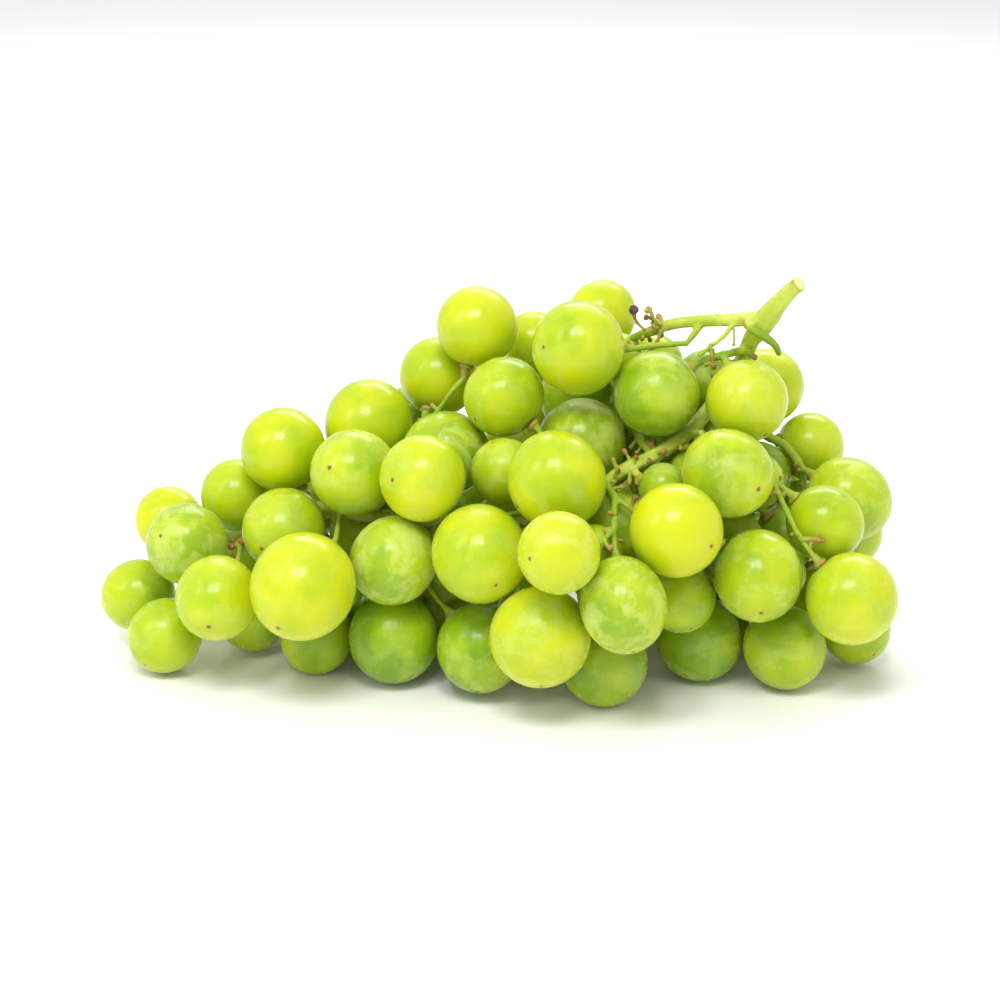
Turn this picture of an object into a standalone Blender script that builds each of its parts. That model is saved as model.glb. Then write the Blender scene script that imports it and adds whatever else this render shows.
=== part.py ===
"""A bunch of round green table grapes, lying on its side on a flat surface.

Each berry is a node of its own. The stalk is one node: the cut end, the main stem through the bunch, its
side branches and the short stem of each berry, which grew as one piece. +X runs from the tip of the bunch
towards the cut end, +Y away from the front, +Z up. The design is written in millimetres and built in metres.
"""

import heapq
import math

import bmesh
import bpy
import numpy as np
from mathutils import Vector

# Driving dimensions, in millimetres
MILLIMETRE = 0.001  # of a metre, Blender's unit
SKIN_GAP = 0.35  # clearance between two berries, and between a berry and the stalk
TIP_GAP = 0.3  # clearance between the end of a berry's stem and its skin
PRESS = 0.5  # how far a berry that carries the bunch is flattened where it rests
ROUND_SIDES = 12  # flats around a berry
ROUND_RINGS = 8  # bands from a berry's stem end to its flower end
STEM_SIDES = 5  # flats around each branch of the stalk
PEDICEL_RADIUS = 0.8  # a berry's own short stem
PEDICEL_FOOT = 1.5  # its swollen end, against the berry
BRANCH_MAX = 1.7  # thickest side branch
BRANCH_GROWTH = 0.3  # how a branch thickens with the number of berries that it carries
NODE_SWELL = 1.2  # a joint's width against its branch's
ROOT_DEPTH = 0.9  # how deep a branch starts inside the one that bears it
KNOT_LOAD = 4  # berries past a fork from which it shows as a swollen joint
STRAY = 0.7  # how far a branch's straight stretches may cut its bends
CORNER_CUT = 0.25  # share of a main stem's stretch that is cut off at each bend

# The berries that show on the outside, by the side branch that they hang on:
# number, across, depth, height, width, length
LEFT_TIP = (
    (33, -95, 24, 14, 19, 20),
    (32, -86, 6, 10, 19, 20),
    (28, -87, 32, 32, 18, 18),
    (29, -80, 11, 33, 21, 21),
    (30, -71, -7, 26, 21, 23),
    (27, -69, 32, 39, 19, 19),
    (39, -65, 19, 10, 18, 19),
)
LEFT_MIDDLE = (
    (31, -48, -17, 33, 26, 28),
    (38, -47, 7, 9, 19, 20),
    (34, -55, 9, 38, 21, 22),
    (26, -56, 25, 54, 22, 22),
    (24, -37, 10, 53, 22, 23),
    (25, -34, 33, 58, 23, 24),
    (22, -27, -5, 35, 22, 23),
    (37, -27, 0, 12, 23, 24),
)
MIDDLE = (
    (23, -19, -4, 56, 22, 21),
    (44, -14, 22, 54, 23, 22),
    (5, -16, 47, 67, 21, 21),
    (21, -5, -15, 41, 24, 26),
    (36, -5, -9, 13, 22, 23),
    (1, -6, 38, 83, 21, 21),
    (6, 1, 20, 70, 20, 21),
    (35, 10, -26, 23, 25, 25),
    (19, 14, -10, 58, 25, 24),
    (20, 14, -36, 49, 20, 20),
    (45, 21, 22, 57, 23, 23),
)
TOP = (
    (4, 21, 17, 83, 24, 23),
    (3, 27, 52, 82, 19, 18),
    (7, 40, 16, 70, 22, 22),
    (8, 62, 12, 71, 21, 21),
    (9, 70, 44, 65, 20, 20),
)
RIGHT_MIDDLE = (
    (40, 26, -13, 11, 22, 23),
    (18, 30, -33, 35, 21, 24),
    (15, 43, -21, 49, 23, 23),
    (17, 45, -10, 27, 18, 18),
    (41, 51, 2, 11, 22, 23),
    (14, 56, -5, 58, 22, 25),
    (16, 64, -13, 34, 22, 24),
    (42, 72, -4, 11, 21, 22),
)
RIGHT_END = (
    (10, 82, 42, 49, 18, 18),
    (12, 82, 1, 42, 19, 20),
    (13, 87, -14, 29, 23, 23),
    (11, 90, 20, 42, 21, 23),
    (43, 92, 10, 10, 18, 18),
    (47, 92, 34, 28, 18, 19),
)
BACK = (
    (61, -46, 40, 10, 20, 21),
    (62, -21, 43, 11, 23, 22),
    (63, 6, 43, 11, 23, 24),
    (64, 33, 41, 11, 23, 23),
    (65, 60, 40, 11, 22, 22),
    (66, 83, 34, 10, 19, 20),
    (67, -53, 46, 31, 21, 20),
    (68, -28, 54, 34, 23, 23),
    (69, -3, 58, 33, 23, 24),
    (70, 23, 60, 33, 24, 23),
    (71, 49, 58, 33, 23, 23),
    (72, 74, 54, 33, 21, 22),
    (73, 10, 66, 54, 23, 22),
    (74, 37, 67, 54, 22, 23),
)
OUTER = LEFT_TIP + LEFT_MIDDLE + MIDDLE + TOP + RIGHT_MIDDLE + RIGHT_END + BACK

# Berries deep inside, or all but hidden: no solid of their own, but the others leave them room and the stalk
# reaches them
INNER = (
    (2, 9, 57, 73, 17, 17),
    (46, 1, 8, 54, 17, 17),
    (49, 40, 48, 70, 18, 18),
    (50, 20, 45, 62, 20, 20),
    (51, 39, 33, 50, 19, 19),
    (52, 54, 45, 54, 19, 19),
    (54, 37, 15, 42, 17, 17),
    (55, 29, -1, 42, 18, 18),
    (56, 60, 13, 34, 15, 16),
    (57, 67, 32, 44, 19, 19),
    (58, 74, 21, 31, 17, 17),
    (59, -36, 23, 31, 16, 16),
    (60, -15, 14, 22, 15, 16),
    (81, -37, 24, 10, 19, 19),
    (82, -14, 20, 10, 19, 19),
    (83, 8, 17, 10, 19, 19),
    (84, 31, 17, 10, 19, 19),
    (85, 68, 18, 10, 18, 18),
)

# The way the flower end of a berry points, where it isn't straight out of the bunch
FLOWER_END = {
    26: (-6, -2, 8),
    24: (-5, -8, 4),
    23: (-7, -7, 2),
    30: (-1, -9, -3),
    31: (-4, -8, -5),
    21: (3, -9, -3),
    20: (-7, -8, -1),
    35: (2, -6, -8),
    18: (2, -6, -8),
    16: (0, -9, -5),
    13: (7, -6, -3),
    15: (8, -4, -4),
    7: (-4, -8, -5),
    4: (-8, -6, 2),
    6: (-7, -6, -4),
    45: (8, -5, 2),
    19: (-8, -4, -4),
    8: (7, -6, -5),
    22: (-6, -5, -6),
}

# The way that the stem end points, where it isn't opposite the flower end
STEM_END = {
    16: (0, 3, 9),
    18: (-1, 3, 9),
}

# The stalk's own stems, each as points across, depth, height, radius, from the thick end to the thin one
PEDUNCLE = (
    (75, 16, 101, 2.2),
    (73, 17, 99, 2.1),
    (70, 19, 95, 2.5),
    (67, 21, 90, 3.3),
    (64, 24, 84, 2.6),
)
RACHIS = (
    (64, 24, 84, 2.4),
    (62, 27, 77, 2.2),
    (56, 27, 67, 2.2),
    (48, 17, 61, 2.1),
    (39, 11, 57, 2.0),
    (31, 7, 55, 1.9),
    (23, 6, 48, 1.8),
    (10, 8, 42, 1.8),
    (0, 11, 39, 1.7),
    (-12, 14, 39, 1.7),
    (-20, 15, 38, 1.6),
    (-30, 16, 38, 1.5),
    (-40, 18, 39, 1.5),
    (-49, 20, 41, 1.4),
    (-59, 28, 34, 1.3),
    (-68, 23, 29, 1.2),
    (-75, 22, 22, 1.1),
)
TOP_ARM = (
    (67, 22, 90, 2.2),
    (60, 24, 89, 1.8),
    (52, 27, 88, 1.7),
    (44, 31, 86, 1.6),
    (38, 33, 83, 1.4),
    (34, 35, 81, 1.1),
)
DRY_TWIG = (
    (40, 32, 85, 0.8),
    (39, 31, 88, 0.6),
    (38, 30, 91, 0.4),
)
HOOK = (
    (51, 27, 87, 1.2),
    (49, 26, 84, 0.9),
    (47, 25, 82, 0.7),
)
SIDE_ARM = (
    (62, 21, 89, 1.1),
    (64, 18, 88, 1.2),
    (67, 19, 86, 1.2),
    (70, 21, 83, 1.0),
    (71, 24, 80, 0.8),
)
FRONT_ARM = (
    (63, 25, 81, 1.2),
    (59, 22, 81, 1.1),
    (54, 21, 80, 1.1),
    (49, 21, 78, 0.8),
)
THIN_ARM = (
    (59, 23, 88, 0.7),
    (57, 21, 86, 0.7),
    (53, 20, 83, 0.6),
    (50, 19, 81, 0.8),
)
MAIN_STEMS = (PEDUNCLE, RACHIS, TOP_ARM, DRY_TWIG, HOOK, SIDE_ARM, FRONT_ARM, THIN_ARM)

# How the berries settle
SETTLE_ROUNDS = 500
SPARE_GAP = 0.05  # added to the clearance, so that what is left of an overlap does no harm
PUSH_APART = 0.3  # share of an overlap between berries that is cleared in a round
PUSH_OFF_STEM = 0.5  # the same, between a berry and a stem
PULL_BACK = 0.03  # pull towards the place listed, at first
PULL_FADE = 0.97  # and what is left of that pull after each round

# How the branches find their way between the berries, on a grid of this pitch
PITCH = 1.5
MARGIN = 8.0  # how far outside the berries they may run
GROUND_ROOM = 4.0  # how high above the surface they stay
THIN_ROOM = 1.15  # the narrowest gap that a berry's stem passes, from its middle line to the skins
TIGHT_COST = 2.5  # how much they avoid tight places
OPEN_COST = 20.0  # how much they avoid the outside of the bunch
CROWD_REACH = 6  # cells looked over on each side to tell the inside from the outside
CROWDED = 0.45  # share of the cells there that berries fill, well inside the bunch
ROOM_LEAST = 0.2  # the room that counts as tightest
ROOM_MOST = 3.0  # and the room past which more is no easier
FOOT_NEAR = 1.2  # a berry's stem leaves its side branch or bends this far from the skin at least
FOOT_FAR = 3.6  # and this far at most
TURN_COST = 8.0  # how much a berry's stem keeps to its axis
TURN_COST_STATED = 40.0  # the same, where the flower end's way is stated
SMOOTH_ROUNDS = 12  # how often the found ways are drawn smooth


def clear_scene():
    """Removes whatever the scene holds."""
    for obj in list(bpy.data.objects):
        bpy.data.objects.remove(obj, do_unlink=True)


def make_material(name, colour, roughness):
    """A plain surface of one colour."""
    material = bpy.data.materials.new(name)
    material.use_nodes = True
    shader = material.node_tree.nodes["Principled BSDF"]
    shader.inputs["Base Color"].default_value = (*colour, 1.0)
    shader.inputs["Roughness"].default_value = roughness
    shader.inputs["Metallic"].default_value = 0.0
    return material


def skin_material():
    """Tight green-yellow grape skin with a soft gloss."""
    return make_material("grape_skin", (0.55, 0.68, 0.05), 0.3)


def stalk_material():
    """Dull green wood."""
    return make_material("stalk_green", (0.40, 0.48, 0.10), 0.6)


def walk_line(points, step):
    """Points and radii every step or less along a bent line of (x, y, z, radius)."""
    line = np.array(points, float)
    out = [line[0]]
    for start, end in zip(line[:-1], line[1:]):
        count = max(1, math.ceil(np.linalg.norm(end[:3] - start[:3]) / step))
        out.extend(start + (end - start) * k / count for k in range(1, count + 1))
    out = np.array(out)
    return out[:, :3], out[:, 3]


def rounded_line(points):
    """The bent line with its corners cut, ends kept."""
    line = np.array(points, float)
    cut = CORNER_CUT * (line[1:] - line[:-1])
    middle = np.stack([line[:-1] + cut, line[1:] - cut], axis=1).reshape(-1, line.shape[1])
    return np.vstack([line[:1], middle, line[-1:]])


def flower_directions(numbers, centres, rachis):
    """Unit vectors from each berry's stem end to its flower end: out of the bunch, unless stated."""
    nearest = np.linalg.norm(centres[:, None] - rachis[None], axis=2).argmin(axis=1)
    axes = centres - rachis[nearest]
    for row, number in enumerate(numbers):
        if number in FLOWER_END:
            axes[row] = FLOWER_END[number]
    return axes / np.linalg.norm(axes, axis=1)[:, None]


def reach(axes, width, length, ways):
    """How far an oval reaches from its centre towards each unit vector."""
    along = (ways * axes).sum(axis=-1)
    return np.sqrt(width**2 + (length**2 - width**2) * along**2)


def settle(centres, axes, width, length, stem, stem_radius):
    """Moves the berries apart until each pair, and each berry and stem, is clear by the skin gap."""
    start = centres.copy()
    centres = centres.copy()
    count = len(centres)
    rows = np.arange(count)
    for turn in range(SETTLE_ROUNDS):
        apart = centres[:, None] - centres[None]
        distance = np.linalg.norm(apart, axis=2) + np.eye(count)
        ways = apart / distance[..., None]
        touch = reach(axes[:, None], width[:, None], length[:, None], ways)
        touch = touch + touch.T + SKIN_GAP + SPARE_GAP
        lack = np.clip(touch - distance, 0, None)
        lack[rows, rows] = 0
        centres = centres + PUSH_APART * (ways * lack[..., None]).sum(axis=1)
        off = centres[:, None] - stem[None]
        away = np.linalg.norm(off, axis=2)
        short = length[:, None] + stem_radius[None] + SKIN_GAP + SPARE_GAP - away
        worst = short.argmax(axis=1)
        push = np.clip(short[rows, worst], 0, None) / away[rows, worst]
        centres = centres + PUSH_OFF_STEM * off[rows, worst] * push[:, None]
        centres = centres + (start - centres) * PULL_BACK * PULL_FADE**turn
        down = reach(axes, width, length, np.array([0.0, 0.0, 1.0]))
        centres[:, 2] = np.maximum(centres[:, 2], down - PRESS)
    return centres


def room_at(points, centres, radii):
    """Distance from each point to the nearest skin, as if every berry were as fat as it is long."""
    gaps = [np.linalg.norm(points - centre, axis=-1) - radius for centre, radius in zip(centres, radii)]
    return np.min(gaps, axis=0)


def crowding(filled):
    """Share of the cells around each cell of a grid that berries fill, averaged along each axis in turn."""
    share = filled.astype(float)
    for axis in range(3):
        edges = [(CROWD_REACH, CROWD_REACH) if k == axis else (0, 0) for k in range(3)]
        padded = np.pad(share, edges)
        count = share.shape[axis]
        slices = [np.take(padded, range(k, k + count), axis) for k in range(2 * CROWD_REACH + 1)]
        share = np.mean(slices, axis=0)
    return share


def search_room(centres, radii, sources):
    """Cheapest ways through the gaps between the berries, from the main stems to everywhere.

    Returns the grid's cell centres, and each cell's cost and parent cell.
    """
    low = (centres - radii[:, None]).min(axis=0) - MARGIN
    high = (centres + radii[:, None]).max(axis=0) + MARGIN
    low[2] = GROUND_ROOM
    shape = tuple(np.ceil((high - low) / PITCH).astype(int))
    ticks = [low[k] + PITCH * np.arange(shape[k]) for k in range(3)]
    cells = np.stack(np.meshgrid(*ticks, indexing="ij"), axis=-1).reshape(-1, 3)
    room = room_at(cells, centres, radii)
    free = (room > THIN_ROOM) & (room < MARGIN)
    crowd = crowding((room < 0).reshape(shape)).ravel()
    dear = 1.0 + TIGHT_COST / np.clip(room - THIN_ROOM, ROOM_LEAST, ROOM_MOST)
    dear += OPEN_COST * np.clip(CROWDED - crowd, 0.0, None)
    dear = dear.tolist()
    free = free.tolist()
    strides = (shape[1] * shape[2], shape[2], 1)
    moves = []
    for dx in (-1, 0, 1):
        for dy in (-1, 0, 1):
            for dz in (-1, 0, 1):
                if dx or dy or dz:
                    jump = dx * strides[0] + dy * strides[1] + dz
                    moves.append((jump, PITCH * math.sqrt(dx * dx + dy * dy + dz * dz)))
    cost = [math.inf] * len(free)
    parent = [-1] * len(free)
    queue = []
    for number, point in enumerate(sources):
        place = np.rint((point - low) / PITCH).astype(int)
        cell = int(place @ np.array(strides))
        if free[cell] and cost[cell] > 0:
            cost[cell] = 0.0
            parent[cell] = -2 - number
            heapq.heappush(queue, (0.0, cell))
    last = len(free)
    while queue:
        spent, cell = heapq.heappop(queue)
        if spent > cost[cell]:
            continue
        for jump, length in moves:
            other = cell + jump
            if 0 <= other < last and free[other]:
                total = spent + length * dear[other]
                if total < cost[other]:
                    cost[other] = total
                    parent[other] = cell
                    heapq.heappush(queue, (total, other))
    return cells, np.array(cost), parent


def stem_directions(numbers, axes):
    """Unit vectors from each berry's centre to its stem end: away from its flower end, unless stated."""
    ways = -axes
    for row, number in enumerate(numbers):
        if number in STEM_END:
            ways[row] = np.array(STEM_END[number]) / np.linalg.norm(STEM_END[number])
    return ways


def find_stem_ends(cells, cost, centres, radii, ways, numbers):
    """For each berry, the grid cell by its stem end that is cheapest to reach."""
    known = np.isfinite(cost)
    ends = []
    for row, centre in enumerate(centres):
        off = cells - centre
        away = np.linalg.norm(off, axis=1)
        near = known & (away > radii[row] + FOOT_NEAR) & (away < radii[row] + FOOT_FAR)
        turned = (off @ ways[row]) / away
        weight = TURN_COST_STATED if numbers[row] in FLOWER_END else TURN_COST
        score = np.where(near, cost + weight * (1.0 - turned), math.inf)
        ends.append(int(score.argmin()))
    return ends


def grow_branches(sources, cells, parent, ends, centres, radii):
    """The tree of branch points: positions, parents, the load each carries, and each berry's last point."""
    places = []
    above = []
    load = []
    known = {}

    def add(point, up):
        """A new branch point, borne by another."""
        places.append(np.array(point, float))
        above.append(up)
        load.append(0)
        return len(places) - 1

    def reach_cell(cell):
        """Adds the way to a grid cell, as far as it isn't there yet, and returns its last point."""
        chain = []
        while cell >= 0 and cell not in known:
            chain.append(cell)
            cell = parent[cell]
        if cell < 0:
            root = -2 - cell
            up = add(sources[root], -1)
        else:
            up = known[cell]
        for step in reversed(chain):
            up = add(cells[step], up)
            known[step] = up
        return up

    feet = []
    for row, end in enumerate(ends):
        up = reach_cell(end)
        way = cells[end] - centres[row]
        way = way / np.linalg.norm(way)
        foot = add(centres[row] + way * (radii[row] + TIP_GAP), up)
        feet.append(foot)
        while foot >= 0:
            load[foot] += 1
            foot = above[foot]
    return np.array(places), above, np.array(load), feet


def line_room(start, end, centres, radii):
    """The least room along a straight stretch."""
    way = end - start
    share = np.clip(((centres - start) @ way) / max(way @ way, 1e-9), 0.0, 1.0)
    nearest = start + share[:, None] * way
    return (np.linalg.norm(nearest - centres, axis=1) - radii).min()


def smooth_branches(places, above, load, feet, centres, radii):
    """Draws each branch point towards its neighbours where there is room."""
    below = [[] for _ in places]
    for point, up in enumerate(above):
        if up >= 0:
            below[up].append(point)
    held = set(feet)
    for _ in range(SMOOTH_ROUNDS):
        for point, up in enumerate(above):
            if up < 0 or point in held or load[point] == 0:
                continue
            near = [places[k] for k in below[point] if load[k]]
            if not near or any(k in held for k in below[point]):
                continue
            goal = (2.0 * places[point] + places[up] + np.mean(near, axis=0)) / 4.0
            tries = [line_room(goal, places[k], centres, radii) for k in [up, *below[point]] if k >= 0]
            if min(tries) > THIN_ROOM:
                places[point] = goal
    return below


def branch_chains(above, below, load):
    """Splits the tree into runs of points, each from a fork, or the main stem, to the next fork or foot."""
    chains = []
    for point, up in enumerate(above):
        if up < 0 or load[point] == 0:
            continue
        forked = above[up] < 0 or sum(1 for k in below[up] if load[k]) > 1
        if not forked:
            continue
        chain = [up, point]
        while True:
            next_points = [k for k in below[chain[-1]] if load[k]]
            if len(next_points) != 1:
                break
            chain.append(next_points[0])
        chains.append(chain)
    return chains


def strays(points, start, end):
    """How far the points between two of a run lie from the straight line that joins the two."""
    way = points[end] - points[start]
    way = way / np.linalg.norm(way)
    off = points[start + 1 : end] - points[start]
    return np.linalg.norm(off - np.outer(off @ way, way), axis=1).max()


def thin_out(points, centres, radii):
    """Leaves out points of a run wherever the straight stretch past them stays close to it and clear."""
    last = len(points) - 1
    kept = [0]
    while kept[-1] < last:
        here = kept[-1]
        ahead = here + 1
        for option in range(last - 1, here + 1, -1):
            clear = line_room(points[here], points[option], centres, radii) > THIN_ROOM
            if clear and strays(points, here, option) < STRAY:
                ahead = option
                break
        kept.append(ahead)
    return points[kept]


def tube_mesh(name, points, widths, sides):
    """A closed tube of the given radii along the points, all in millimetres."""
    mesh = bmesh.new()
    rings = []
    side = None
    for k, point in enumerate(points):
        way = Vector(points[min(k + 1, len(points) - 1)] - points[max(k - 1, 0)]).normalized()
        if side is None:
            side = way.orthogonal().normalized()
        side = (side - way * side.dot(way)).normalized()
        other = way.cross(side)
        ring = []
        for turn in range(sides):
            angle = 2 * math.pi * turn / sides
            offset = side * math.cos(angle) + other * math.sin(angle)
            ring.append(mesh.verts.new((Vector(point) + offset * widths[k]) * MILLIMETRE))
        rings.append(ring)
    for first, second in zip(rings[:-1], rings[1:]):
        for k in range(sides):
            mesh.faces.new((first[k], first[(k + 1) % sides], second[(k + 1) % sides], second[k]))
    mesh.faces.new(rings[0][::-1])
    mesh.faces.new(rings[-1])
    data = bpy.data.meshes.new(name)
    mesh.to_mesh(data)
    mesh.free()
    return data


def knot_mesh(name, point, radius):
    """A small swollen joint where branches meet."""
    mesh = bmesh.new()
    bmesh.ops.create_icosphere(mesh, subdivisions=1, radius=radius * MILLIMETRE)
    bmesh.ops.translate(mesh, verts=mesh.verts, vec=Vector(point) * MILLIMETRE)
    data = bpy.data.meshes.new(name)
    mesh.to_mesh(data)
    mesh.free()
    return data


def make_object(name, data, material=None):
    """An object in the scene that shows the mesh."""
    if material:
        data.materials.append(material)
    obj = bpy.data.objects.new(name, data)
    bpy.context.scene.collection.objects.link(obj)
    return obj


def berry_mesh(name, axis, width, length, height):
    """An oval with its long way along its axis, cut flat where it rests on the surface."""
    mesh = bmesh.new()
    bmesh.ops.create_uvsphere(mesh, u_segments=ROUND_SIDES, v_segments=ROUND_RINGS, radius=MILLIMETRE)
    turn = Vector(axis).to_track_quat("Z", "Y").to_matrix()
    for vert in mesh.verts:
        vert.co = turn @ Vector((vert.co.x * width, vert.co.y * width, vert.co.z * length))
    if min(vert.co.z for vert in mesh.verts) + height * MILLIMETRE < 0:
        everything = mesh.verts[:] + mesh.edges[:] + mesh.faces[:]
        bmesh.ops.bisect_plane(
            mesh,
            geom=everything,
            plane_co=(0, 0, -height * MILLIMETRE),
            plane_no=(0, 0, 1),
            clear_inner=True,
        )
        rim = [edge for edge in mesh.edges if edge.is_boundary]
        foot = bmesh.ops.contextual_create(mesh, geom=rim)["faces"][0]
        foot.normal_update()
        if foot.normal.z > 0:
            foot.normal_flip()
    data = bpy.data.meshes.new(name)
    mesh.to_mesh(data)
    mesh.free()
    data.shade_smooth()
    return data


def drop_slivers(mesh):
    """Keeps the largest body of a mesh: where two branches graze, joining them can leave a loose sliver."""
    work = bmesh.new()
    work.from_mesh(mesh)
    bodies = []
    seen = set()
    for start in work.verts:
        if start in seen:
            continue
        seen.add(start)
        body = [start]
        for corner in body:
            for edge in corner.link_edges:
                other = edge.other_vert(corner)
                if other not in seen:
                    seen.add(other)
                    body.append(other)
        bodies.append(body)
    bodies.sort(key=len)
    for sliver in bodies[:-1]:
        bmesh.ops.delete(work, geom=sliver, context="VERTS")
    work.to_mesh(mesh)
    work.free()


def build_stalk(lines, chains, places, above, load, feet, centres, radii, material):
    """Joins the main stems, the branches and their knots into one closed piece."""
    parts = []
    for number, line in enumerate(lines[1:]):
        data = tube_mesh(f"stem_{number}", line[:, :3], line[:, 3], STEM_SIDES)
        parts.append(make_object(f"stem_{number}", data))
    tips = set(feet)
    joints = {}
    for number, chain in enumerate(chains):
        points = thin_out(places[chain], centres, radii)
        if above[chain[0]] >= 0:
            back = places[above[chain[0]]] - points[0]
            root = points[0] + back / np.linalg.norm(back) * ROOT_DEPTH
            points = np.vstack([root, points])
        thick = min(BRANCH_MAX, PEDICEL_RADIUS * load[chain[1]] ** BRANCH_GROWTH)
        widths = np.full(len(points), thick)
        for k in range(1, len(points) - 1):
            widths[k] = min(thick, room_at(points[k], centres, radii) - SKIN_GAP)
        if chain[-1] in tips:
            widths[-1] = PEDICEL_FOOT
        if load[chain[0]] >= KNOT_LOAD:
            joints[chain[0]] = max(joints.get(chain[0], 0.0), thick * NODE_SWELL)
        data = tube_mesh(f"branch_{number}", points, widths, STEM_SIDES)
        parts.append(make_object(f"branch_{number}", data))
    for number, (point, radius) in enumerate(joints.items()):
        radius = min(radius, room_at(places[point], centres, radii) - SKIN_GAP)
        parts.append(make_object(f"knot_{number}", knot_mesh(f"knot_{number}", places[point], radius)))
    tools = bpy.data.collections.new("stalk_parts")
    for part in parts:
        tools.objects.link(part)
    body = tube_mesh("stalk", lines[0][:, :3], lines[0][:, 3], STEM_SIDES)
    stalk = make_object("stalk", body, material)
    join = stalk.modifiers.new("join", "BOOLEAN")
    join.operation = "UNION"
    join.solver = "EXACT"
    join.operand_type = "COLLECTION"
    join.collection = tools
    bpy.context.view_layer.update()
    evaluated = stalk.evaluated_get(bpy.context.evaluated_depsgraph_get())
    joined = bpy.data.meshes.new_from_object(evaluated)
    drop_slivers(joined)
    stalk.modifiers.clear()
    stalk.data = joined
    for part in parts:
        bpy.data.objects.remove(part, do_unlink=True)
    bpy.data.collections.remove(tools)
    return stalk


def centre_on_origin(objects):
    """Moves the bunch so that the origin is under its middle, on the surface."""
    corners = []
    for obj in objects:
        corners.extend(obj.location + vert.co for vert in obj.data.vertices)
    corners = np.array(corners)
    middle = (corners.min(axis=0) + corners.max(axis=0)) / 2
    shift = Vector((-middle[0], -middle[1], 0.0))
    for obj in objects:
        obj.location = obj.location + shift


def build():
    """Settles the berries, grows the stalk between them and makes every piece."""
    clear_scene()
    skin = skin_material()
    wood = stalk_material()
    rows = np.array(OUTER + INNER, float)
    numbers = [int(row[0]) for row in rows]
    width = rows[:, 4] / 2
    length = rows[:, 5] / 2
    lines = [rounded_line(stem) for stem in MAIN_STEMS]
    main = [walk_line(line, PITCH) for line in lines]
    stem = np.vstack([points for points, _ in main])
    stem_radius = np.concatenate([radius for _, radius in main])
    axes = flower_directions(numbers, rows[:, 1:4], main[1][0])
    centres = settle(rows[:, 1:4], axes, width, length, stem, stem_radius)
    radii = np.maximum(width, length)
    sources = stem[len(main[0][0]):]
    cells, cost, parent = search_room(centres, radii, sources)
    ends = find_stem_ends(cells, cost, centres, radii, stem_directions(numbers, axes), numbers)
    places, above, load, feet = grow_branches(sources, cells, parent, ends, centres, radii)
    below = smooth_branches(places, above, load, feet, centres, radii)
    chains = branch_chains(above, below, load)
    stalk = build_stalk(lines, chains, places, above, load, feet, centres, radii, wood)
    objects = [stalk]
    for row in range(len(OUTER)):
        name = f"berry_{numbers[row]:02d}"
        data = berry_mesh(name, axes[row], width[row], length[row], centres[row][2])
        berry = make_object(name, data, skin)
        berry.location = Vector(centres[row]) * MILLIMETRE
        objects.append(berry)
    centre_on_origin(objects)


build()
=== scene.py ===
import math

import bmesh
import bpy
import numpy as np
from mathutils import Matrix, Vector


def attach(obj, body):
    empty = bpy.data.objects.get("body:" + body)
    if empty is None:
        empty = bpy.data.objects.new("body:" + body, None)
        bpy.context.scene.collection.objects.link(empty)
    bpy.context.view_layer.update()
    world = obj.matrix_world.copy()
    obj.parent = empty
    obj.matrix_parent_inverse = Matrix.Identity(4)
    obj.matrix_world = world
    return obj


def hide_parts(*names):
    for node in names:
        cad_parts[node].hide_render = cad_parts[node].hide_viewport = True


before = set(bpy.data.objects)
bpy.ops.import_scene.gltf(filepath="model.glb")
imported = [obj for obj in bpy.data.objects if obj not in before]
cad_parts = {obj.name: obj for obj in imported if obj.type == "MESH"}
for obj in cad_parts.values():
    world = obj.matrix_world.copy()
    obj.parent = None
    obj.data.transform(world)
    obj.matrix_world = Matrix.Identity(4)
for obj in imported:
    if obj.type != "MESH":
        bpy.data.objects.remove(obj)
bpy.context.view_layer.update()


# ---- Studio: a white floor under a soft white sky, with two softboxes side by side over the front of the
# bunch, a narrower one to its left, and a strip behind it that lights the thin flesh at the rims.

scene = bpy.context.scene
scene.view_settings.view_transform = "Standard"

floor_mesh = bpy.data.meshes.new("floor")
floor_half = 6.0
floor_corners = [(x * floor_half, y * floor_half, 0) for x, y in ((-1, -1), (1, -1), (1, 1), (-1, 1))]
floor_mesh.from_pydata(floor_corners, [], [(0, 1, 2, 3)])
floor = bpy.data.objects.new("floor", floor_mesh)
scene.collection.objects.link(floor)
floor_paint = bpy.data.materials.new("white_floor")
floor_paint.use_nodes = True
floor_shader = floor_paint.node_tree.nodes["Principled BSDF"]
floor_shader.inputs["Base Color"].default_value = (0.92, 0.92, 0.92, 1)
floor_shader.inputs["Roughness"].default_value = 0.9
floor_shader.inputs["Specular IOR Level"].default_value = 0.1
floor_mesh.materials.append(floor_paint)

sky = bpy.data.worlds.new("studio")
scene.world = sky
sky.use_nodes = True
sky.node_tree.nodes["Background"].inputs["Color"].default_value = (1.0, 1.0, 1.0, 1)
sky.node_tree.nodes["Background"].inputs["Strength"].default_value = 0.80


def softbox(name, place, aim, width, height, watts, colour=(1, 1, 1)):
    """A rectangular light at a place, facing the point that it is aimed at."""
    light = bpy.data.lights.new(name, "AREA")
    light.shape = "RECTANGLE"
    light.size = width
    light.size_y = height
    light.energy = watts
    light.color = colour
    lamp = bpy.data.objects.new(name, light)
    scene.collection.objects.link(lamp)
    lamp.location = place
    lamp.rotation_euler = (Vector(aim) - Vector(place)).to_track_quat("-Z", "Y").to_euler()
    return lamp


softbox("front_softbox_left", (-0.24, -0.52, 0.82), (0, 0, 0.04), 0.17, 0.28, 2.7)
softbox("front_softbox_right", (0.00, -0.52, 0.82), (0, 0, 0.04), 0.17, 0.28, 2.7)
softbox("left_softbox", (-0.60, -0.30, 0.55), (0, 0, 0.04), 0.16, 0.40, 1.0)
softbox("back_strip", (0.15, 0.65, 0.60), (0, 0, 0.05), 0.70, 0.20, 3.0)

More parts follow.
